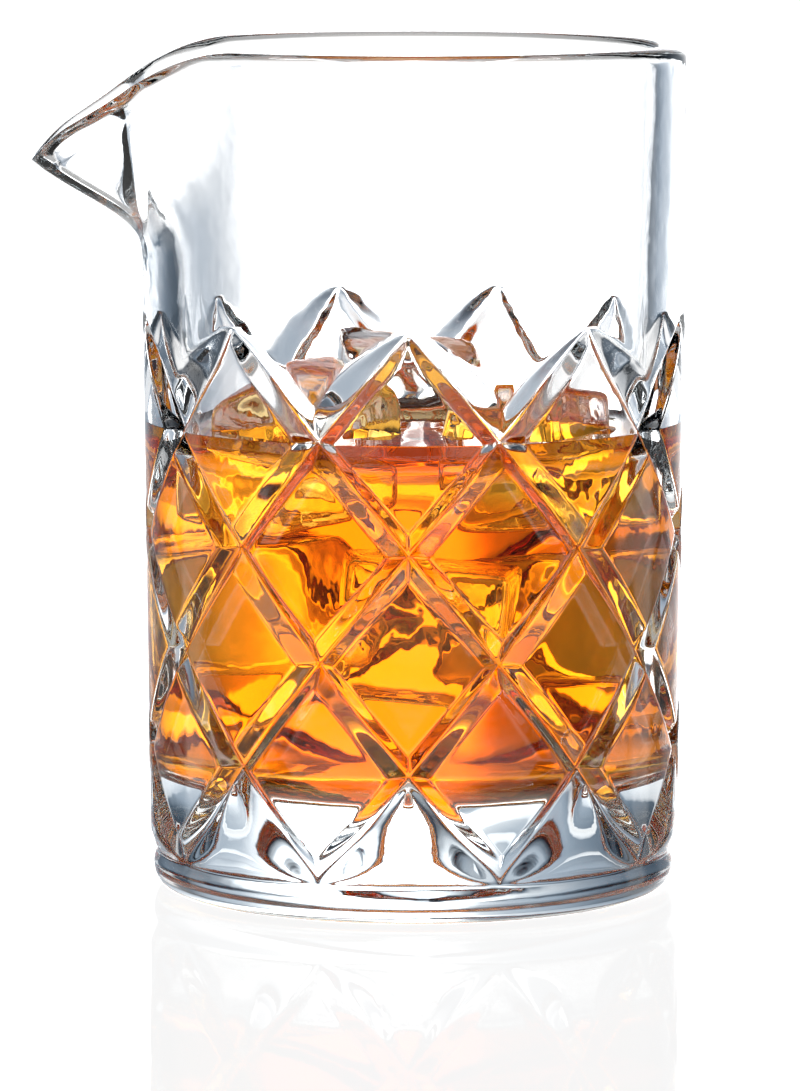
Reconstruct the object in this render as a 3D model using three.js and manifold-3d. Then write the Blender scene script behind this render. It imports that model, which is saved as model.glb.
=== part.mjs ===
// A stirring glass for cocktails: a heavy pressed-glass vessel with a beaked pouring spout and a band of
// crossing V-grooves, holding its drink and six ice cubes. Millimetres, +Z up. The origin is the centre of
// the base. The spout points along -X, and the front of the glass faces -Y.
import * as THREE from "three";
import { mergeVertices } from "three/addons/utils/BufferGeometryUtils.js";
import Module from "manifold-3d";

// Vessel
const height = 142;
const rimRadius = 46;
const wallTaper = 1.4; // the outside is this much narrower at the base than at the rim
const innerRimRadius = 40.6;
const innerFloorRadius = 37.4;
const floorHeight = 18.5; // thick solid base below the hollow
const floorFillet = 6;
const lipRise = 2.4; // height of the rounded top of the rim
const clearance = 0.3; // gap left between pieces that touch
const innerSides = 48;

// Pattern band of crossing V-grooves
const columns = 9;
const bandTop = 97.4; // height of the upper row of points
const diamondHeight = 36.4;
const bandRows = 5; // half diamonds from the upper points down to the lower ring
const bandTurn = -3.8; // turn of the first column from the front, in degrees
const grooveDepth = 2.4;
const grooveShare = 0.092; // half width of a groove as a share of a diamond's side
const topFacetShare = 0.154; // the upper face of the top grooves is broader
const crestFacetShare = 0.035; // half width of a groove face where the last half row begins
const footFacetShare = 0.2; // the grooves open out to this at the lower ring
const runOutLength = 7; // the top grooves rise to the surface over this height
const ringDepth = 1.2; // the band ends in a shallow ring groove above the heel
const landSteps = 3; // mesh steps across a diamond's face
const footLandGap = 0.055; // the lowest faces end this far above the ring, as a share of a diamond

// Spout
const spoutHeight = 36; // the spout starts this far below the rim
const spoutReach = 18.1; // how far the tip stands out from the wall
const channelReach = 19;
const spoutBaseAngle = 42;
const channelBaseAngle = 38;
const spoutBodyShare = 0.55; // share of the reach made by the broad flare, the rest is the beak
const rimDropSlope = 0.67;
const rimDropStart = 40; // distance from the axis where the rim begins to fall towards the tip
const rimDropBlend = 8;
const tipDrop = 1.85;
const tipDropStart = 58;
const tipDropLength = 6.1;

// Drink and ice
const drinkLevel = 77.7;
const iceRound = 2.6;
const iceSteps = 4;

const radians = Math.PI / 180;

// Angles run counter-clockwise from the front (-Y) in degrees.
function pointAt(angle, radius, z) {
  const turn = angle * radians;
  return new THREE.Vector3(radius * Math.sin(turn), -radius * Math.cos(turn), z);
}

function outerRadius(z) {
  return rimRadius - wallTaper * (1 - z / height);
}

function innerRadius(z) {
  const share = (z - floorHeight) / (height - floorHeight);
  return innerFloorRadius + (innerRimRadius - innerFloorRadius) * share;
}

function smooth(low, high, value) {
  return THREE.MathUtils.smoothstep(value, low, high);
}

// Angle from the spout's centre line, 0 to 180.
function fromSpout(angle) {
  return Math.abs(THREE.MathUtils.euclideanModulo(angle + 90 + 180, 360) - 180);
}

// A tent with a rounded ridge: 1 at the ridge and 0 from the edge outwards.
function tent(angle, edge, round) {
  const fall = Math.hypot(angle, round) - round;
  const whole = Math.hypot(edge, round) - round;
  return Math.max(0, 1 - fall / whole);
}

function bell(angle, edge) {
  if (angle >= edge) return 0;
  return Math.cos((90 * angle * radians) / edge) ** 2;
}

// How far the outside and the channel stand out beyond the wall, at share 0 to 1 of the spout's height.
function outerFlare(angle, share) {
  const body = spoutBodyShare * bell(angle, spoutBaseAngle) * share ** 2;
  const beak = (1 - spoutBodyShare) * tent(angle, 5 + 15 * share, 1.5) * smooth(0.2, 0.96, share);
  return spoutReach * (body + beak);
}

function innerFlare(angle, share) {
  const body = spoutBodyShare * bell(angle, channelBaseAngle) * share ** 2;
  const beak = (1 - spoutBodyShare) * tent(angle, 4 + 11.5 * share, 2) * smooth(0.3, 1, share);
  return channelReach * (body + beak);
}

// Height of the rim, which falls along the spout to the tip.
function rimHeight(angle) {
  const side = fromSpout(angle);
  const along = (rimRadius + outerFlare(side, 1)) * Math.cos(side * radians);
  const past = along - rimDropStart;
  let drop = 0;
  if (past > rimDropBlend) drop = rimDropSlope * past;
  else if (past > -rimDropBlend) drop = (rimDropSlope * (past + rimDropBlend) ** 2) / (4 * rimDropBlend);
  if (along > tipDropStart) drop += tipDrop * ((along - tipDropStart) / tipDropLength) ** 2;
  return height - drop;
}

function lipHeight(angle) {
  return lipRise - tent(fromSpout(angle), 20, 1.5);
}

// A ring is a closed row of corners in order of angle.
function makeRing(angles, place) {
  return angles.map((angle) => ({ angle, point: place(angle) }));
}

function levelRing(angles, radius, z) {
  return makeRing(angles, (angle) => pointAt(angle, radius, z));
}

function evenAngles(count, start = 0) {
  return Array.from({ length: count }, (_, i) => start + (360 * i) / count);
}

const corners = [];
function face(a, b, c) {
  for (const p of [a, b, c]) corners.push(p.x, p.y, p.z);
}

// Joins two rings with a strip of triangles, whatever their counts.
function joinRings(low, high) {
  const start = low[0].angle;
  const nearest = high.map((c) => Math.abs(THREE.MathUtils.euclideanModulo(c.angle - start + 180, 360) - 180));
  const first = nearest.indexOf(Math.min(...nearest));
  const turned = [...high.slice(first), ...high.slice(0, first)];
  const ahead = (ring, i) => {
    const turns = Math.floor(i / ring.length);
    const from = THREE.MathUtils.euclideanModulo(ring[0].angle - start + 180, 360) - 180;
    const step = THREE.MathUtils.euclideanModulo(ring[i % ring.length].angle - ring[0].angle, 360);
    return from + step + 360 * turns;
  };
  const at = (ring, i) => ring[i % ring.length].point;
  let i = 0;
  let j = 0;
  while (i < low.length || j < turned.length) {
    const lowNext = i < low.length ? ahead(low, i + 1) : Infinity;
    const highNext = j < turned.length ? ahead(turned, j + 1) : Infinity;
    if (lowNext <= highNext) {
      face(at(low, i), at(low, i + 1), at(turned, j));
      i += 1;
    } else {
      face(at(low, i), at(turned, j + 1), at(turned, j));
      j += 1;
    }
  }
}

function joinAll(rings) {
  for (let k = 0; k + 1 < rings.length; k += 1) joinRings(rings[k], rings[k + 1]);
}

function closeCentre(ring, z, facingUp) {
  const centre = new THREE.Vector3(0, 0, z);
  ring.forEach((corner, i) => {
    const next = ring[(i + 1) % ring.length];
    if (facingUp) face(centre, corner.point, next.point);
    else face(centre, next.point, corner.point);
  });
}

function finishGeometry(list) {
  const geometry = new THREE.BufferGeometry();
  geometry.setAttribute("position", new THREE.Float32BufferAttribute(list, 3));
  const merged = mergeVertices(geometry, 1e-3);
  return merged;
}

// Groove band. Grooves run along whole values of two slanting counts, rising and falling round the glass.
const shares = [0, grooveShare];
for (let k = 1; k < landSteps; k += 1) {
  shares.push(grooveShare + ((1 - 2 * grooveShare) * k) / landSteps);
}
shares.push(1 - grooveShare, 1);
const cellSteps = shares.length - 1;

// The top grooves rise out of the wall at their points.
function runOut(z) {
  return Math.sqrt(THREE.MathUtils.clamp((bandTop - z) / runOutLength, 0, 1));
}

function valleyDepth(z) {
  const foot = smooth(0, 9, z - (bandTop - (bandRows * diamondHeight) / 2));
  return runOut(z) * (ringDepth + (grooveDepth - ringDepth) * foot);
}

// Half width of the groove face beside a diamond, as a share of the diamond's side.
function facetShare(level, row, lower) {
  const z = bandTop - level * diamondHeight;
  let share = grooveShare;
  if (row === 0 && lower) share = topFacetShare;
  if (row === bandRows && !lower) {
    const open = (level - (bandRows - 1) / 2) / 0.5;
    share = THREE.MathUtils.lerp(crestFacetShare, footFacetShare, open);
  }
  return share * Math.max(0.35, runOut(z));
}

// One corner of the band: row picks the diamond's level, left is its left point counted in columns, and
// iu and iv are steps down and up its two slanting sides.
function bandCorner(left, row, iu, iv) {
  let fu = shares[iu];
  let fv = shares[iv];
  const last = cellSteps;
  const onValley = iu === 0 || iv === 0 || iu === last || iv === last;
  const onRing = iu === iv && (row === 0 || row === bandRows);
  const level = (row + fu - fv) / 2;
  if (!onValley && !onRing) {
    if (iu === 1) fu = facetShare(level, row, false);
    if (iv === last - 1) fv = 1 - facetShare(level, row, false);
    if (iu === last - 1) fu = 1 - facetShare(level, row, true);
    if (iv === 1) fv = facetShare(level, row, true);
    if (row === bandRows && iv - iu === 1) {
      const middle = (fu + fv) / 2;
      fu = middle - footLandGap;
      fv = middle + footLandGap;
    }
  }
  const down = (row + fu - fv) / 2;
  const z = bandTop - down * diamondHeight;
  const angle = bandTurn + ((left + (fu + fv) / 2) * 360) / columns;
  let depth = 0;
  if (onValley) depth = valleyDepth(z);
  if (onRing) depth = row === 0 ? 0 : ringDepth;
  return { angle, point: pointAt(angle, outerRadius(z) - depth, z) };
}

function leftPoint(column, row) {
  return row % 2 === 0 ? column : column - 0.5;
}

function addDiamond(left, row) {
  const last = cellSteps - 1;
  for (let iu = 0; iu <= last; iu += 1) {
    for (let iv = 0; iv <= last; iv += 1) {
      const leftCorner = bandCorner(left, row, iu, iv).point;
      const bottomCorner = bandCorner(left, row, iu + 1, iv).point;
      const topCorner = bandCorner(left, row, iu, iv + 1).point;
      const rightCorner = bandCorner(left, row, iu + 1, iv + 1).point;
      const below = iu - iv;
      const mitre = iu === iv && (iu === 0 || iu === last);
      const halfTop = row === 0;
      const halfFoot = row === bandRows;
      if ((halfTop && below < 0) || (halfFoot && below > 0)) continue;
      if (halfTop && below === 0) {
        face(leftCorner, bottomCorner, rightCorner);
      } else if (halfFoot && below === 0) {
        face(leftCorner, rightCorner, topCorner);
      } else if (mitre) {
        face(leftCorner, bottomCorner, rightCorner);
        face(leftCorner, rightCorner, topCorner);
      } else {
        face(leftCorner, bottomCorner, topCorner);
        face(bottomCorner, rightCorner, topCorner);
      }
    }
  }
}

function bandRing(row) {
  const ring = [];
  for (let column = 0; column < columns; column += 1) {
    for (let k = 0; k < cellSteps; k += 1) ring.push(bandCorner(leftPoint(column, row), row, k, k));
  }
  return ring;
}

for (let row = 0; row <= bandRows; row += 1) {
  for (let column = 0; column < columns; column += 1) addDiamond(leftPoint(column, row), row);
}

// Base and heel, up to the lower ring of the band.
const lowerRing = bandRing(bandRows);
const heelAngles = lowerRing.map((corner) => corner.angle);
const heelProfile = [[20, 0], [41, 0], [42.4, 0.4], [43.3, 1.2], [43.9, 2.4], [44.1, 4]];
const heelRings = heelProfile.map(([radius, z]) => levelRing(heelAngles, radius, z));
closeCentre(heelRings[0], 0, false);
joinAll([...heelRings, lowerRing]);

// Upper wall, spout, rim and channel. The corners crowd together round the spout.
const spoutAngles = [0, 1.5, 3, 4.5, 6.5, 9, 12, 15, 18, 21.5, 26, 31, 37, 44];
const rimAngles = [...spoutAngles.slice(1).map((a) => -90 - a).reverse(), ...spoutAngles.map((a) => a - 90)];
const plainCount = 35;
const plainStep = (360 - 2 * 44) / (plainCount + 1);
for (let k = 1; k <= plainCount; k += 1) rimAngles.push(-46 + k * plainStep);
const spoutStart = height - spoutHeight;
const spoutShares = [0, 0.14, 0.28, 0.42, 0.56, 0.7, 0.85, 1];

function wallPoint(angle, share, inside) {
  const side = fromSpout(angle);
  const top = rimHeight(angle) - lipHeight(angle);
  const z = THREE.MathUtils.lerp(spoutStart, top, share);
  const radius = inside ? innerRadius(z) + innerFlare(side, share) : outerRadius(z) + outerFlare(side, share);
  return pointAt(angle, radius, z);
}

function lipPoint(angle, turn) {
  const outer = wallPoint(angle, 1, false);
  const inner = wallPoint(angle, 1, true);
  const point = outer.lerp(inner, (1 - Math.cos(turn)) / 2);
  point.z += lipHeight(angle) * Math.sin(turn);
  return point;
}

const outerWall = spoutShares.map((share) => makeRing(rimAngles, (angle) => wallPoint(angle, share, false)));
const lip = [30, 60, 90, 120, 150].map((t) => makeRing(rimAngles, (angle) => lipPoint(angle, t * radians)));
const channel = spoutShares.map((share) => makeRing(rimAngles, (angle) => wallPoint(angle, share, true)));
joinAll([bandRing(0), ...outerWall, ...lip, ...channel.reverse()]);

// Inner wall and floor of the hollow.
const hollowAngles = evenAngles(innerSides);
function hollowProfile(gap) {
  const profile = [];
  for (let k = 0; k <= 4; k += 1) {
    const turn = (90 - 22.5 * k) * radians;
    const z = floorHeight + gap + floorFillet * (1 - Math.sin(turn));
    profile.push([innerFloorRadius - gap - floorFillet * (1 - Math.cos(turn)), z]);
  }
  return profile;
}
const floorProfile = hollowProfile(0).reverse();
const innerRings = [[innerRadius(64), 64], ...floorProfile, [16, floorHeight]];
joinAll([channel[channel.length - 1], ...innerRings.map(([radius, z]) => levelRing(hollowAngles, radius, z))]);
closeCentre(levelRing(hollowAngles, 16, floorHeight), floorHeight, true);
const vesselGeometry = finishGeometry(corners);

// Ice cubes, each with its own size, place and turn. The upper three stand out of the drink, and the lower
// three float up against them.
const iceCubes = [
  { name: "ice_cube_1", size: [27, 26, 28], at: [-17.5, -9.5, 75.5], turn: [5, -4, 31] },
  { name: "ice_cube_2", size: [26, 27, 27], at: [17.5, -10.5, 74], turn: [-4, -6, -28] },
  { name: "ice_cube_3", size: [27, 26, 29], at: [-0.2, 20.9, 76.5], turn: [6, 3, 2] },
  { name: "ice_cube_4", size: [27, 26, 27], at: [0.4, -20.3, 46.7], turn: [4, 5, -3] },
  { name: "ice_cube_5", size: [26, 27, 26], at: [17.8, 10, 45.3], turn: [-5, 4, 33] },
  { name: "ice_cube_6", size: [27, 26, 26], at: [-18.2, 10.5, 47.5], turn: [3, -6, -29] },
];

// A box with rounded edges and corners, grown by a gap on every side.
function iceGeometry(cube, gap) {
  const [x, y, z] = cube.size.map((side) => side + 2 * gap);
  const round = iceRound + gap;
  const geometry = new THREE.BoxGeometry(x, y, z, iceSteps, iceSteps, iceSteps);
  geometry.deleteAttribute("normal");
  geometry.deleteAttribute("uv");
  const merged = mergeVertices(geometry, 1e-3);
  const place = merged.attributes.position;
  const core = new THREE.Vector3(x / 2 - round, y / 2 - round, z / 2 - round);
  const point = new THREE.Vector3();
  for (let i = 0; i < place.count; i += 1) {
    point.fromBufferAttribute(place, i);
    const kept = point.clone().clamp(core.clone().negate(), core);
    const out = point.sub(kept);
    if (out.length() > 0) out.setLength(round);
    kept.add(out);
    place.setXYZ(i, kept.x, kept.y, kept.z);
  }
  const [rx, ry, rz] = cube.turn.map((degrees) => degrees * radians);
  const matrix = new THREE.Matrix4().makeRotationFromEuler(new THREE.Euler(rx, ry, rz, "ZYX"));
  matrix.setPosition(...cube.at);
  return merged.applyMatrix4(matrix);
}

const wasm = await Module();
wasm.setup();

function solidOf(geometry) {
  const vertProperties = new Float32Array(geometry.attributes.position.array);
  const triVerts = new Uint32Array(geometry.index.array);
  return new wasm.Manifold(new wasm.Mesh({ numProp: 3, vertProperties, triVerts }));
}

function geometryOf(solid) {
  const mesh = solid.getMesh();
  const geometry = new THREE.BufferGeometry();
  geometry.setAttribute("position", new THREE.BufferAttribute(new Float32Array(mesh.vertProperties), 3));
  geometry.setIndex(new THREE.BufferAttribute(new Uint32Array(mesh.triVerts), 1));
  return geometry;
}

// The drink fills the hollow up to its level and leaves room for the ice.
function drinkGeometry() {
  corners.length = 0;
  const bottom = floorHeight + clearance;
  const profile = [[16, bottom], ...hollowProfile(clearance), [innerRadius(64) - clearance, 64]];
  profile.push([innerRadius(drinkLevel) - clearance, drinkLevel]);
  const rings = profile.map(([radius, z]) => levelRing(hollowAngles, radius, z));
  closeCentre(rings[0], bottom, false);
  joinAll(rings);
  closeCentre(rings[rings.length - 1], drinkLevel, true);
  let drink = solidOf(finishGeometry(corners));
  for (const cube of iceCubes) drink = drink.subtract(solidOf(iceGeometry(cube, clearance)));
  return geometryOf(drink);
}

const glass = new THREE.MeshStandardMaterial({ color: 0xe4edf2, roughness: 0.03, metalness: 0 });
glass.transparent = true;
glass.opacity = 0.25;
const amber = new THREE.MeshStandardMaterial({ color: 0xd9680f, roughness: 0.02, metalness: 0 });
amber.transparent = true;
amber.opacity = 0.75;
const ice = new THREE.MeshStandardMaterial({ color: 0xdfe6e2, roughness: 0.12, metalness: 0 });
ice.transparent = true;
ice.opacity = 0.5;

const group = new THREE.Group();
group.name = "mixing_glass";

function addPiece(name, geometry, material) {
  geometry.computeVertexNormals();
  const piece = new THREE.Mesh(geometry, material);
  piece.name = name;
  group.add(piece);
}

addPiece("glass_body", vesselGeometry, glass);
addPiece("drink", drinkGeometry(), amber);
for (const cube of iceCubes) addPiece(cube.name, iceGeometry(cube, 0), ice.clone());

export default group;
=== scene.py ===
import math
import random

import bmesh
import bpy
import numpy as np
from mathutils import Euler, Matrix, Vector, noise


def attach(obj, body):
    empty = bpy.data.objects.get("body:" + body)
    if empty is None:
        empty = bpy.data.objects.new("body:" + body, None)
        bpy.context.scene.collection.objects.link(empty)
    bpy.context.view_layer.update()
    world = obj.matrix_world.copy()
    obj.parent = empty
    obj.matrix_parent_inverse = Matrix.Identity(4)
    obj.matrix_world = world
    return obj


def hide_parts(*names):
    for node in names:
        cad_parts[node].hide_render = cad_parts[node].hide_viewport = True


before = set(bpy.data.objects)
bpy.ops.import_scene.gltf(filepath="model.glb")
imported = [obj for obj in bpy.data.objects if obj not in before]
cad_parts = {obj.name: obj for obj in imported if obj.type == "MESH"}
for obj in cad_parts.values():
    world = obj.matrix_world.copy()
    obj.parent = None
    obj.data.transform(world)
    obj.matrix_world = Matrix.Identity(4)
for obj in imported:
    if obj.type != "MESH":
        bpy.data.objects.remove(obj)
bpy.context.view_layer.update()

MM = 0.001

# Vessel, the same driving sizes as the solid model
HEIGHT = 142.0
RIM_RADIUS = 46.0
WALL_TAPER = 1.4
INNER_RIM_RADIUS = 40.6
INNER_FLOOR_RADIUS = 37.4
FLOOR_HEIGHT = 18.5
FLOOR_FILLET = 6.0
LIP_RISE = 2.4

COLUMNS = 9
BAND_TOP = 97.4
DIAMOND_HEIGHT = 36.4
BAND_ROWS = 5
BAND_TURN = -3.8
GROOVE_DEPTH = 2.4
GROOVE_SHARE = 0.092
TOP_FACET_SHARE = 0.154
CREST_FACET_SHARE = 0.035
FOOT_FACET_SHARE = 0.2
RUN_OUT_LENGTH = 7.0
RING_DEPTH = 1.2
RING_RISE = 2.0

SPOUT_HEIGHT = 36.0
SPOUT_REACH = 18.1
CHANNEL_REACH = 19.0
SPOUT_BASE_ANGLE = 42.0
CHANNEL_BASE_ANGLE = 38.0
SPOUT_BODY_SHARE = 0.55
RIM_DROP_SLOPE = 0.67
RIM_DROP_START = 40.0
RIM_DROP_BLEND = 8.0
TIP_DROP = 1.85
TIP_DROP_START = 58.0
TIP_DROP_LENGTH = 6.1

BAND_FOOT = BAND_TOP - BAND_ROWS * DIAMOND_HEIGHT / 2  # the groove band ends in a ring groove at this height

DRINK_LEVEL = 77.7
CREEP_HEIGHT = 0.9  # the drink creeps this far up the wall
CREEP_LENGTH = 0.75
WETTING = 0.15  # the drink laps this far into the glass, so that no film of air shows between them
ICE_WETTING = 0.12  # and this far into the ice

WALL_STEPS = 26  # mesh rings up the spout's height
ROUND_STEPS = 144  # mesh steps round the hollow and the drink


def clamp(value, low=0.0, high=1.0):
    return max(low, min(high, value))


def smooth(low, high, value):
    share = clamp((value - low) / (high - low))
    return share * share * (3 - 2 * share)


def point_at(angle, radius, z):
    turn = math.radians(angle)
    return (radius * math.sin(turn), -radius * math.cos(turn), z)


def outer_radius(z):
    return RIM_RADIUS - WALL_TAPER * (1 - z / HEIGHT)


def inner_radius(z):
    share = (z - FLOOR_HEIGHT) / (HEIGHT - FLOOR_HEIGHT)
    return INNER_FLOOR_RADIUS + (INNER_RIM_RADIUS - INNER_FLOOR_RADIUS) * share


class Shell:
    """Corners and faces of one closed mesh. A ring is a list of (angle, corner number)."""

    def __init__(self):
        self.corners = []
        self.faces = []

    def corner(self, place):
        self.corners.append(place)
        return len(self.corners) - 1

    def ring(self, angles, place):
        return [(angle, self.corner(place(angle))) for angle in angles]

    def level(self, angles, radius, z):
        return self.ring(angles, lambda angle: point_at(angle, radius, z))

    def join(self, low, high):
        """Faces between two rings, whose corners need not stand at the same angles."""
        if [a for a, _ in low] == [a for a, _ in high]:
            for k in range(len(low)):
                n = (k + 1) % len(low)
                self.faces.append((low[k][1], low[n][1], high[n][1], high[k][1]))
            return
        start = low[0][0]
        turned = sorted(((angle - start + 1e-6) % 360, number) for angle, number in high)
        turned = [(angle - 1e-6, number) for angle, number in turned]
        under = [((angle - start) % 360, number) for angle, number in low]
        i = j = 0
        while i < len(under) or j < len(turned):
            low_next = 1e9
            if i < len(under):
                low_next = under[i + 1][0] if i + 1 < len(under) else 360.0
            high_next = 1e9
            if j < len(turned):
                high_next = turned[j + 1][0] if j + 1 < len(turned) else 360.0 + turned[0][0]
            a = under[i % len(under)][1]
            b = turned[j % len(turned)][1]
            if low_next <= high_next:
                self.faces.append((a, under[(i + 1) % len(under)][1], b))
                i += 1
            else:
                self.faces.append((a, turned[(j + 1) % len(turned)][1], b))
                j += 1

    def join_all(self, rings):
        for low, high in zip(rings, rings[1:]):
            self.join(low, high)

    def close(self, ring, z, up):
        """A fan of faces from a ring to a corner on the axis."""
        centre = self.corner((0, 0, z))
        for k, (_, number) in enumerate(ring):
            following = ring[(k + 1) % len(ring)][1]
            pair = (number, following) if up else (following, number)
            self.faces.append((centre, *pair))

    def make(self, name):
        mesh = bpy.data.meshes.new(name)
        mesh.from_pydata([Vector(c) * MM for c in self.corners], [], self.faces)
        mesh.validate()
        mesh.polygons.foreach_set("use_smooth", [True] * len(mesh.polygons))
        made = bpy.data.objects.new(name, mesh)
        bpy.context.scene.collection.objects.link(made)
        return made


# ---------------------------------------------------------------- groove band


def run_out(z):
    return math.sqrt(clamp((BAND_TOP - z) / RUN_OUT_LENGTH))


def valley_depth(z):
    foot = smooth(0, 9, z - BAND_FOOT)
    return run_out(z) * (RING_DEPTH + (GROOVE_DEPTH - RING_DEPTH) * foot)


def facet_share(level, row, lower):
    share = GROOVE_SHARE
    if row == 0 and lower:
        share = TOP_FACET_SHARE
    if row == BAND_ROWS and not lower:
        opened = (level - (BAND_ROWS - 1) / 2) / 0.5
        share = CREST_FACET_SHARE + (FOOT_FACET_SHARE - CREST_FACET_SHARE) * opened
    return share * max(0.35, run_out(BAND_TOP - level * DIAMOND_HEIGHT))


def soft_least(values, width):
    least = min(values)
    return least - width * math.log(sum(math.exp((least - v) / width) for v in values))


def groove_profile(share, rounding=0.1):
    """Depth across a groove, 1 at its bottom and 0 past its edge, with both slightly rounded."""
    fall = 1 - math.hypot(share, rounding) + rounding
    return 0.5 * (fall + math.hypot(fall, 0.1)) / (0.5 * (1 + math.hypot(1, 0.1)))


def band_depth(fu, fv, row, z):
    """Depth below the wall's surface at a share fu down and fv up the two slanting sides of a diamond."""
    level = (row + fu - fv) / 2
    upper = facet_share(level, row, False)
    lower = facet_share(level, row, True)
    sides = (fu / upper, (1 - fv) / upper, (1 - fu) / lower, fv / lower)
    rounding = 0.1 + 0.5 * (1 - smooth(9, 22, z))
    depth = valley_depth(z) * groove_profile(max(0.0, soft_least(sides, 0.06)), rounding)
    ring = RING_DEPTH * groove_profile((z - BAND_FOOT) / RING_RISE, 0.5)
    gap = depth - ring
    return 0.5 * (depth + ring + math.hypot(gap, 0.08)) - 0.04


def band_steps():
    """Grid lines along a diamond's side, crowded together over the grooves."""
    near = [0, 0.012, 0.028, 0.046, 0.064, 0.08, 0.092, 0.104, 0.12, 0.138, 0.156]
    near += [0.18, 0.22, 0.28, 0.36, 0.45]
    return near + [1 - share for share in reversed(near)]


def add_band(shell):
    """Covers the band with a grid along the grooves, and returns its lowest and highest rings."""
    steps = band_steps()
    count = len(steps) - 1
    known = {}

    def number(row, left, iu, iv):
        u = round((left + row / 2) * count) + iu
        v = round((left - row / 2) * count) + iv
        turns = math.floor((u + v) / (2 * COLUMNS * count))
        key = (u - turns * COLUMNS * count, v - turns * COLUMNS * count)
        if key not in known:
            fu, fv = steps[iu], steps[iv]
            z = BAND_TOP - (row + fu - fv) / 2 * DIAMOND_HEIGHT
            angle = BAND_TURN + (left + (fu + fv) / 2) * 360 / COLUMNS
            depth = band_depth(fu, fv, row, z)
            known[key] = shell.corner(point_at(angle, outer_radius(z) - depth, z))
        return known[key]

    def left_point(column, row):
        return column if row % 2 == 0 else column - 0.5

    for row in range(BAND_ROWS + 1):
        for column in range(COLUMNS):
            left = left_point(column, row)
            for iu in range(count):
                for iv in range(count):
                    below = iu - iv
                    if (row == 0 and below < 0) or (row == BAND_ROWS and below > 0):
                        continue
                    a = number(row, left, iu, iv)
                    c = number(row, left, iu + 1, iv + 1)
                    b = number(row, left, iu + 1, iv) if below or row != BAND_ROWS else None
                    d = number(row, left, iu, iv + 1) if below or row != 0 else None
                    shell.faces.append(tuple(n for n in (a, b, c, d) if n is not None))

    def edge(row):
        ring = []
        for column in range(COLUMNS):
            left = left_point(column, row)
            for k in range(count):
                angle = BAND_TURN + (left + steps[k]) * 360 / COLUMNS
                ring.append((angle, number(row, left, k, k)))
        return ring

    return edge(BAND_ROWS), edge(0)


# ---------------------------------------------------------------- spout and rim


def from_spout(angle):
    return abs((angle + 270) % 360 - 180)


def tent(angle, edge, rounding):
    fall = math.hypot(angle, rounding) - rounding
    return max(0.0, 1 - fall / (math.hypot(edge, rounding) - rounding))


def bell(angle, edge):
    return 0.0 if angle >= edge else math.cos(math.radians(90 * angle / edge)) ** 2


def outer_flare(side, share):
    body = SPOUT_BODY_SHARE * bell(side, SPOUT_BASE_ANGLE) * share**2
    beak = (1 - SPOUT_BODY_SHARE) * tent(side, 5 + 15 * share, 1.5) * smooth(0.2, 0.96, share)
    return SPOUT_REACH * (body + beak)


def inner_flare(side, share):
    body = SPOUT_BODY_SHARE * bell(side, CHANNEL_BASE_ANGLE) * share**2
    beak = (1 - SPOUT_BODY_SHARE) * tent(side, 4 + 11.5 * share, 2) * smooth(0.3, 1, share)
    return CHANNEL_REACH * (body + beak)


def rim_height(angle):
    side = from_spout(angle)
    along = (RIM_RADIUS + outer_flare(side, 1)) * math.cos(math.radians(side))
    past = along - RIM_DROP_START
    drop = 0.0
    if past > RIM_DROP_BLEND:
        drop = RIM_DROP_SLOPE * past
    elif past > -RIM_DROP_BLEND:
        drop = RIM_DROP_SLOPE * (past + RIM_DROP_BLEND) ** 2 / (4 * RIM_DROP_BLEND)
    if along > TIP_DROP_START:
        drop += TIP_DROP * ((along - TIP_DROP_START) / TIP_DROP_LENGTH) ** 2
    return HEIGHT - drop


def lip_height(angle):
    return LIP_RISE - tent(from_spout(angle), 20, 1.5)


def wall_point(angle, share, inside):
    side = from_spout(angle)
    top = rim_height(angle) - lip_height(angle)
    start = HEIGHT - SPOUT_HEIGHT
    z = start + (top - start) * share
    if inside:
        return point_at(angle, inner_radius(z) + inner_flare(side, share), z)
    return point_at(angle, outer_radius(z) + outer_flare(side, share), z)


def lip_point(angle, turn):
    outer = Vector(wall_point(angle, 1, False))
    inner = Vector(wall_point(angle, 1, True))
    place = outer.lerp(inner, (1 - math.cos(turn)) / 2)
    place.z += lip_height(angle) * math.sin(turn)
    return tuple(place)


def rim_angles():
    """Angles round the rim, crowded together at the spout."""
    sides = [0.0]
    while sides[-1] < 46:
        sides.append(sides[-1] + (0.6 if sides[-1] < 9 else 1.0 if sides[-1] < 26 else 1.8))
    last = sides[-1]
    rest = 110
    step = (360 - 2 * last) / rest
    angles = [-90 - s for s in reversed(sides[1:])] + [-90 + s for s in sides]
    return angles + [-90 + last + k * step for k in range(1, rest)]


def hollow_profile(gap):
    """Radius and height of the hollow's wall and rounded corner, from the wall down to the floor."""
    profile = []
    for k in range(13):
        turn = math.radians(90 * k / 12)
        radius = INNER_FLOOR_RADIUS + gap - FLOOR_FILLET * (1 - math.cos(turn))
        profile.append((radius, FLOOR_HEIGHT - gap + FLOOR_FILLET * (1 - math.sin(turn))))
    return profile


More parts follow.
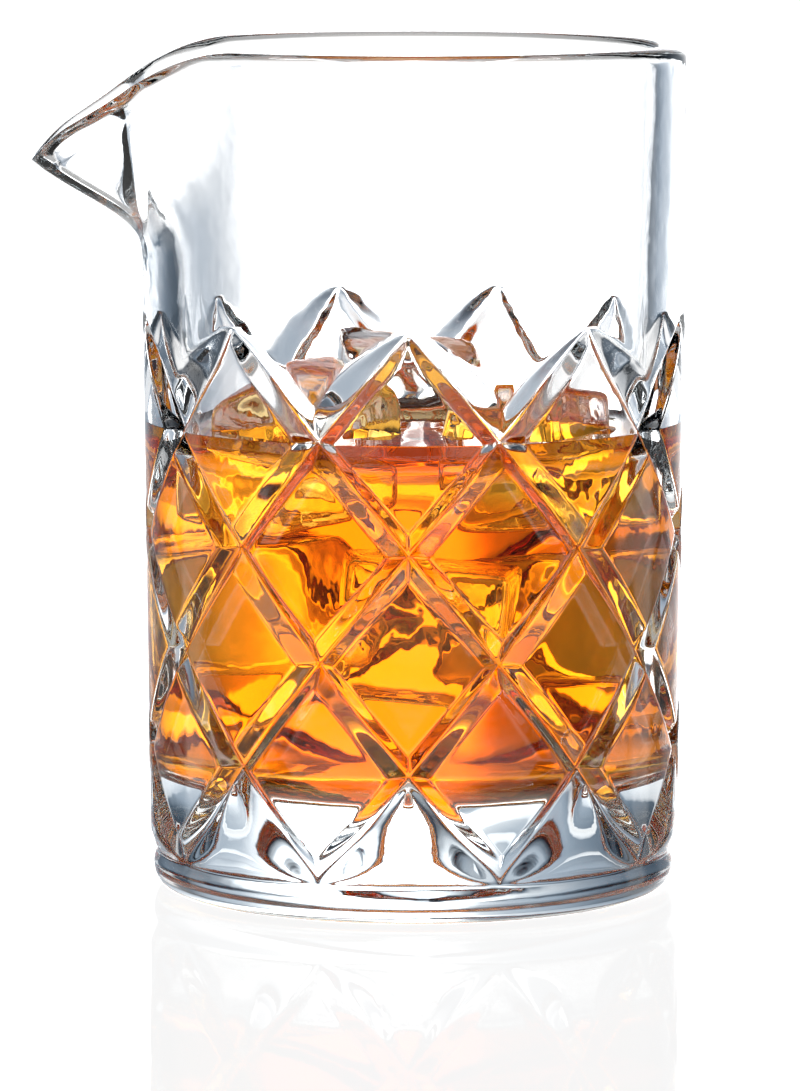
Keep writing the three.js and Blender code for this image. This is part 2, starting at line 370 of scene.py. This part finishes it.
def make_glass():
    shell = Shell()
    lower, upper = add_band(shell)
    heel = [(8, 0), (24, 0), (36, 0), (40.4, 0), (41.2, 0.05), (42.0, 0.25), (42.7, 0.6), (43.3, 1.2)]
    heel += [(43.7, 1.9), (43.95, 2.7), (44.08, 3.5), (44.1, 4.3), (43.95, 5.1), (43.7, 5.8)]
    angles = [angle for angle, _ in lower]
    rings = [shell.level(angles, radius, z) for radius, z in heel]
    shell.close(rings[0], 0, False)
    shell.join_all(rings + [lower])
    around = rim_angles()
    shares = [k / WALL_STEPS for k in range(WALL_STEPS + 1)]
    walls = [shell.ring(around, lambda a, s=share: wall_point(a, s, False)) for share in shares]
    lip = [shell.ring(around, lambda a, t=turn: lip_point(a, math.radians(t))) for turn in range(12, 180, 12)]
    channel = [shell.ring(around, lambda a, s=share: wall_point(a, s, True)) for share in reversed(shares)]
    crest = [angle for angle, _ in upper]
    above = [shell.level(crest, outer_radius(z), z) for z in (BAND_TOP + 0.2, BAND_TOP + 0.6, 99.2, 101.5)]
    shell.join_all([upper] + above + walls + lip + channel)
    even = [360 * k / ROUND_STEPS for k in range(ROUND_STEPS)]
    inside = [(inner_radius(z), z) for z in (98, 88, 76, 64, 52, 40, 31)] + hollow_profile(0)
    inside += [(24, FLOOR_HEIGHT), (12, FLOOR_HEIGHT), (3, FLOOR_HEIGHT)]
    floor = [shell.level(even, radius, z) for radius, z in inside]
    shell.join_all([channel[-1]] + floor)
    shell.close(floor[-1], FLOOR_HEIGHT, True)
    return shell.make("vessel_glass")


# ---------------------------------------------------------------- drink and ice

ICE = [
    {"node": "ice_cube_1", "size": (27, 26, 28), "at": (-17.5, -9.5, 75.5), "turn": (5, -4, 31)},
    {"node": "ice_cube_2", "size": (26, 27, 27), "at": (17.5, -10.5, 74), "turn": (-4, -6, -28)},
    {"node": "ice_cube_3", "size": (27, 26, 29), "at": (-0.2, 20.9, 76.5), "turn": (6, 3, 2)},
    {"node": "ice_cube_4", "size": (27, 26, 27), "at": (0.4, -20.3, 46.7), "turn": (4, 5, -3)},
    {"node": "ice_cube_5", "size": (26, 27, 26), "at": (17.8, 10, 45.3), "turn": (-5, 4, 33)},
    {"node": "ice_cube_6", "size": (27, 26, 26), "at": (-18.2, 10.5, 47.5), "turn": (3, -6, -29)},
]
UPPER_CUBES = 3  # the first three stand out of the drink, the rest lie under them
ICE_STEPS = 34
ICE_ROUND = 0.55  # rounding of the melted edges
ICE_TILT = 0.2  # how far a melted side may lean, as a slope
ICE_SHRINK = 0.9  # melted off each of the cube's own sides


def ice_seed(number):
    return 3.7 * number + 1


def ice_planes(cube, seed):
    """The cube's own six sides, the same again melted askew, and a few chipped corners."""
    chance = random.Random(seed)
    half = Vector(cube["size"]) / 2
    planes = []
    for axis in range(3):
        for way in (-1, 1):
            out = Vector((0, 0, 0))
            out[axis] = way
            planes.append((out.copy(), half[axis] - ICE_SHRINK))
            out[(axis + 1) % 3] = chance.uniform(-ICE_TILT, ICE_TILT)
            out[(axis + 2) % 3] = chance.uniform(-ICE_TILT, ICE_TILT)
            planes.append((out.normalized(), half[axis] - chance.uniform(0.3, 1.6)))
    for _ in range(5):
        out = Vector(chance.choice((-1, 1)) * chance.uniform(0.25, 1) for _ in range(3)).normalized()
        reach = sum(abs(out[k]) * half[k] for k in range(3))
        planes.append((out, reach - chance.uniform(3.5, 7.5)))
    return planes


def ice_matrix(cube):
    turn = [math.radians(t) for t in cube["turn"]]
    spin = Matrix.Rotation(turn[2], 4, "Z") @ Matrix.Rotation(turn[1], 4, "Y")
    return Matrix.Translation(cube["at"]) @ spin @ Matrix.Rotation(turn[0], 4, "X")


def melt_to_planes(starts, planes, inset, seed):
    """Moves points out from the centre to a rounded solid that lies inside all the planes."""
    normals = np.array([tuple(p) for p, _ in planes])
    reach = np.array([d for _, d in planes]) - inset
    ways = starts / np.linalg.norm(starts, axis=1, keepdims=True)
    low = np.zeros(len(ways))
    high = np.full(len(ways), 40.0)
    for _ in range(26):
        middle = (low + high) / 2
        over = ((ways * middle[:, None]) @ normals.T - reach) / ICE_ROUND
        peak = over.max(axis=1)
        past = peak + np.log(np.exp(over - peak[:, None]).sum(axis=1)) > 0
        high = np.where(past, middle, high)
        low = np.where(past, low, middle)
    places = ways * low[:, None]
    for k, place in enumerate(places):
        spot = Vector(place)
        wave = 0.5 + 0.5 * noise.noise(spot * 0.075 + Vector((seed, 0, 0)))
        ripple = 0.5 + 0.5 * noise.noise(spot * 0.2 + Vector((0, seed, 0)))
        places[k] = place - ways[k] * (0.9 * wave + 0.12 * ripple)
    return places


def make_ice(cube, seed, inset=0.0, name=None):
    """One melted cube in its place, its sides moved in by the inset."""
    mesh = bmesh.new()
    bmesh.ops.create_cube(mesh, size=2)
    bmesh.ops.subdivide_edges(mesh, edges=mesh.edges, cuts=ICE_STEPS, use_grid_fill=True)
    starts = np.array([tuple(math.tan(c * math.pi / 4) for c in v.co) for v in mesh.verts])
    places = melt_to_planes(starts, ice_planes(cube, seed), inset, seed)
    stand = ice_matrix(cube)
    for corner, place in zip(mesh.verts, places):
        corner.co = (stand @ Vector(place)) * MM
    made = bpy.data.meshes.new(name or cube["node"] + "_melted")
    mesh.to_mesh(made)
    mesh.free()
    made.polygons.foreach_set("use_smooth", [True] * len(made.polygons))
    piece = bpy.data.objects.new(made.name, made)
    bpy.context.scene.collection.objects.link(piece)
    return piece


def make_drink():
    """The drink, wetting the wall and the ice, with a raised edge where it meets the glass."""
    shell = Shell()
    even = [360 * k / ROUND_STEPS for k in range(ROUND_STEPS)]
    profile = [(3, FLOOR_HEIGHT - WETTING), (16, FLOOR_HEIGHT - WETTING)]
    profile += list(reversed(hollow_profile(WETTING)))
    profile += [(inner_radius(z) + WETTING, z) for z in (31, 40, 52, 64, 72, DRINK_LEVEL + 1.0)]
    top = inner_radius(DRINK_LEVEL)
    for back in (-0.02, 0.12, 0.35, 0.7, 1.2, 1.9, 2.9, 4.5, 8, 16, 26, 34):
        profile.append((top - back, DRINK_LEVEL + CREEP_HEIGHT * math.exp(-max(back, 0) / CREEP_LENGTH)))
    rings = [shell.level(even, radius, z) for radius, z in profile]
    shell.close(rings[0], FLOOR_HEIGHT - WETTING, False)
    shell.join_all(rings)
    shell.close(rings[-1], DRINK_LEVEL, True)
    drink = shell.make("drink_liquid")
    for number, cube in enumerate(ICE):
        cutter = make_ice(cube, ice_seed(number), ICE_WETTING, "cutter")
        cut = drink.modifiers.new("room_for_ice", "BOOLEAN")
        cut.operation = "DIFFERENCE"
        cut.solver = "EXACT"
        cut.object = cutter
        depsgraph = bpy.context.evaluated_depsgraph_get()
        mesh = bpy.data.meshes.new_from_object(drink.evaluated_get(depsgraph))
        drink.modifiers.clear()
        drink.data = mesh
        bpy.data.objects.remove(cutter)
    drink.data.polygons.foreach_set("use_smooth", [True] * len(drink.data.polygons))
    return drink


# ---------------------------------------------------------------- materials


def clear_material(name, index):
    """A polished clear body with a refractive index, and nothing else yet."""
    material = bpy.data.materials.new(name)
    material.use_nodes = True
    surface = next(n for n in material.node_tree.nodes if n.type == "BSDF_PRINCIPLED")
    surface.inputs["Base Color"].default_value = (1, 1, 1, 1)
    surface.inputs["Roughness"].default_value = 0.0
    surface.inputs["IOR"].default_value = index
    surface.inputs["Transmission Weight"].default_value = 1.0
    return material, material.node_tree, surface


def add_absorption(tree, colour, density):
    node = tree.nodes.new("ShaderNodeVolumeAbsorption")
    node.inputs["Color"].default_value = (*colour, 1)
    node.inputs["Density"].default_value = density
    output = next(n for n in tree.nodes if n.type == "OUTPUT_MATERIAL")
    tree.links.new(node.outputs["Volume"], output.inputs["Volume"])


def add_bump(tree, surface, layers, strength, distance):
    """Fine relief from layers of noise, each (scale, detail, share)."""
    place = tree.nodes.new("ShaderNodeTexCoord")
    total = None
    for scale, detail, share in layers:
        texture = tree.nodes.new("ShaderNodeTexNoise")
        texture.inputs["Scale"].default_value = scale
        texture.inputs["Detail"].default_value = detail
        tree.links.new(place.outputs["Object"], texture.inputs["Vector"])
        scaled = tree.nodes.new("ShaderNodeMath")
        scaled.operation = "MULTIPLY"
        scaled.inputs[1].default_value = share
        tree.links.new(texture.outputs["Fac"], scaled.inputs[0])
        if total is None:
            total = scaled
        else:
            both = tree.nodes.new("ShaderNodeMath")
            both.operation = "ADD"
            tree.links.new(total.outputs[0], both.inputs[0])
            tree.links.new(scaled.outputs[0], both.inputs[1])
            total = both
    bump = tree.nodes.new("ShaderNodeBump")
    bump.inputs["Strength"].default_value = strength
    bump.inputs["Distance"].default_value = distance
    tree.links.new(total.outputs[0], bump.inputs["Height"])
    tree.links.new(bump.outputs["Normal"], surface.inputs["Normal"])


def glass_material():
    """Clear glass, cool in its thick parts, with the faint waviness of a pressed surface."""
    material, tree, surface = clear_material("pressed_glass", 1.5)
    add_absorption(tree, (0.55, 0.75, 0.8), 2.6)
    add_bump(tree, surface, [(45, 1, 1.0), (160, 2, 0.25)], 0.25, 0.0006)
    return material


def drink_material():
    """Amber that runs from pale gold where thin to red-brown where deep, with a slight ripple."""
    material, tree, surface = clear_material("amber_drink", 1.39)
    add_absorption(tree, (0.99, 0.75, 0.02), 112)
    add_bump(tree, surface, [(70, 0, 1.0), (150, 1, 0.3)], 0.2, 0.0008)
    return material


def ice_material(name, tint):
    """Wet ice with an amber tint: a painted cast that stands in for the drink-coloured light reaching it
    through the drink.
    """
    material, tree, surface = clear_material(name, 1.31)
    add_absorption(tree, (0.99, 0.78, 0.2), tint)
    add_bump(tree, surface, [(60, 1, 1.0), (170, 2, 0.35)], 0.4, 0.0016)
    return material


# ---------------------------------------------------------------- build


def place_piece(piece, material, body, node):
    piece.data.materials.clear()
    piece.data.materials.append(material)
    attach(piece, body)
    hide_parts(node)


place_piece(make_glass(), glass_material(), "vessel", "glass_body")

# Both ice finishes carry a painted amber cast of drink-coloured light, faint on the cubes that stand out of
# the drink and strong on those under it.
clear_ice = ice_material("wet_ice", 5)
amber_lit_ice = ice_material("amber_lit_ice", 48)
for number, cube in enumerate(ICE):
    finish = clear_ice if number < UPPER_CUBES else amber_lit_ice
    body = cube["node"].replace("_cube", "")
    place_piece(make_ice(cube, ice_seed(number)), finish, body, cube["node"])

place_piece(make_drink(), drink_material(), "vessel", "drink")

# ---------------------------------------------------------------- studio

scene = bpy.context.scene


def make_floor():
    """A glossy white sheet that glows like lit acrylic. The glass sees the studio's light through it."""
    shell = Shell()
    even = [360 * k / 96 for k in range(96)]
    rings = [shell.level(even, radius, -0.05) for radius in (200, 900, 2600, 6000)]
    shell.close(rings[0], -0.05, True)
    for low, high in zip(rings, rings[1:]):
        shell.join(high, low)
    floor = shell.make("studio_floor")
    material = bpy.data.materials.new("white_floor")
    material.use_nodes = True
    tree = material.node_tree
    tree.nodes.clear()
    glow = tree.nodes.new("ShaderNodeEmission")
    glow.inputs["Strength"].default_value = 1.0
    gloss = tree.nodes.new("ShaderNodeBsdfGlossy")
    gloss.inputs["Roughness"].default_value = 0.02
    mix = tree.nodes.new("ShaderNodeMixShader")
    mix.inputs["Fac"].default_value = 0.08
    output = tree.nodes.new("ShaderNodeOutputMaterial")
    tree.links.new(glow.outputs[0], mix.inputs[1])
    tree.links.new(gloss.outputs[0], mix.inputs[2])
    tree.links.new(mix.outputs[0], output.inputs["Surface"])
    floor.data.materials.append(material)
    floor.visible_transmission = False
    floor.visible_glossy = False


def ramp_node(tree, value, low, high, stops):
    """A colour ramp over a value from low to high, with stops of (value, brightness, coolness)."""
    share = tree.nodes.new("ShaderNodeMapRange")
    share.inputs["From Min"].default_value = low
    share.inputs["From Max"].default_value = high
    tree.links.new(value, share.inputs["Value"])
    ramp = tree.nodes.new("ShaderNodeValToRGB")
    tree.links.new(share.outputs[0], ramp.inputs["Fac"])
    elements = ramp.color_ramp.elements
    while len(elements) > 1:
        elements.remove(elements[-1])
    elements[0].position = 0
    for k, (at, light, cool) in enumerate(stops):
        stop = elements[0] if k == 0 else elements.new((at - low) / (high - low))
        stop.color = (light * (1 - cool), light * (1 - 0.55 * cool), light, 1)
    return ramp.outputs["Color"]


# The light round the object as (angle from the back towards the right, brightness, coolness), and the same
# against height as (angle above the level, brightness, coolness). Below and overhead it is even all round.
AROUND = [(-180, 0.03, 0.1), (-150, 0.01, 0.2), (-100, 0.01, 0.4), (-76, 0.02, 0.5)]
AROUND += [(-72, 0.22, 0), (-62, 0.22, 0), (-58, 0.02, 0.5), (-42, 0.033, 0.4), (-30, 0.069, 0.4)]
AROUND += [(-19, 0.13, 0.3), (-11, 0.163, 0.2), (-6, 0.236, 0.08), (-2, 1, 0), (15, 1, 0)]
AROUND += [(23, 0.366, 0.04), (32, 0.179, 0.2), (42, 0.13, 0.3), (50, 0.033, 0.5), (58, 0.02, 0.5)]
AROUND += [(62, 0.22, 0), (72, 0.22, 0), (76, 0.02, 0.5), (100, 0.01, 0.4), (150, 0.01, 0.2)]
AROUND += [(180, 0.03, 0.1)]
UPWARD = [(-90, 0.16, 0), (-60, 0.12, 0), (-35, 0.1, 0), (-22, 0.45, 0), (-14, 1.0, 0), (8, 1.0, 0)]
UPWARD += [(16, 0.5, 0.1), (28, 0.04, 0.4), (55, 0.02, 0.4), (66, 0.45, 0), (90, 0.45, 0)]
LIGHT = 4.3


def make_world():
    """A white sheet behind, cool falling light beside it, two soft side panels and one overhead."""
    world = bpy.data.worlds.new("studio")
    scene.world = world
    world.use_nodes = True
    tree = world.node_tree
    nodes, links = tree.nodes, tree.links
    background = next(n for n in nodes if n.type == "BACKGROUND")
    place = nodes.new("ShaderNodeTexCoord")
    split = nodes.new("ShaderNodeSeparateXYZ")
    links.new(place.outputs["Generated"], split.inputs[0])

    def work_out(kind, *sockets):
        node = nodes.new("ShaderNodeMath")
        node.operation = kind
        for socket, wanted in zip(sockets, node.inputs):
            links.new(socket, wanted)
        return node.outputs[0]

    def share_between(value, start, end):
        """0 at the start and 1 at the end of a stretch of the value."""
        node = nodes.new("ShaderNodeMapRange")
        node.inputs["From Min"].default_value = start
        node.inputs["From Max"].default_value = end
        links.new(value, node.inputs["Value"])
        return node.outputs[0]

    turn = work_out("DEGREES", work_out("ARCTAN2", split.outputs["X"], split.outputs["Y"]))
    rise = work_out("DEGREES", work_out("ARCSINE", split.outputs["Z"]))
    around = ramp_node(tree, turn, -180, 180, AROUND)
    upward = ramp_node(tree, rise, -90, 90, UPWARD)
    white = work_out("ADD", share_between(rise, -13, -30), share_between(rise, 40, 66))
    side = nodes.new("ShaderNodeMix")
    side.data_type = "RGBA"
    links.new(white, side.inputs["Factor"])
    links.new(around, side.inputs["A"])
    side.inputs["B"].default_value = (1, 1, 1, 1)
    both = nodes.new("ShaderNodeMix")
    both.data_type = "RGBA"
    both.blend_type = "MULTIPLY"
    both.inputs["Factor"].default_value = 1
    links.new(side.outputs["Result"], both.inputs["A"])
    links.new(upward, both.inputs["B"])
    links.new(both.outputs["Result"], background.inputs["Color"])
    background.inputs["Strength"].default_value = LIGHT


def make_camera():
    """The viewer stands a little to the spout's side of the front, and looks slightly down."""
    data = bpy.data.cameras.new("camera")
    data.sensor_fit = "HORIZONTAL"
    data.sensor_width = 36
    data.lens = 297
    data.clip_end = 50
    camera = bpy.data.objects.new("camera", data)
    scene.collection.objects.link(camera)
    turn = Matrix.Rotation(math.radians(-2.5), 4, "Z")
    place = Matrix.Translation((-0.00235, -1.105, 0.195))
    tilt = Euler((math.radians(90 - 7.1), 0, 0)).to_matrix().to_4x4()
    camera.matrix_world = turn @ place @ tilt
    scene.camera = camera


make_floor()
make_world()
make_camera()
scene.view_settings.view_transform = "Standard"
scene.cycles.max_bounces = 40
scene.cycles.transmission_bounces = 40
scene.cycles.glossy_bounces = 12
scene.cycles.transparent_max_bounces = 16
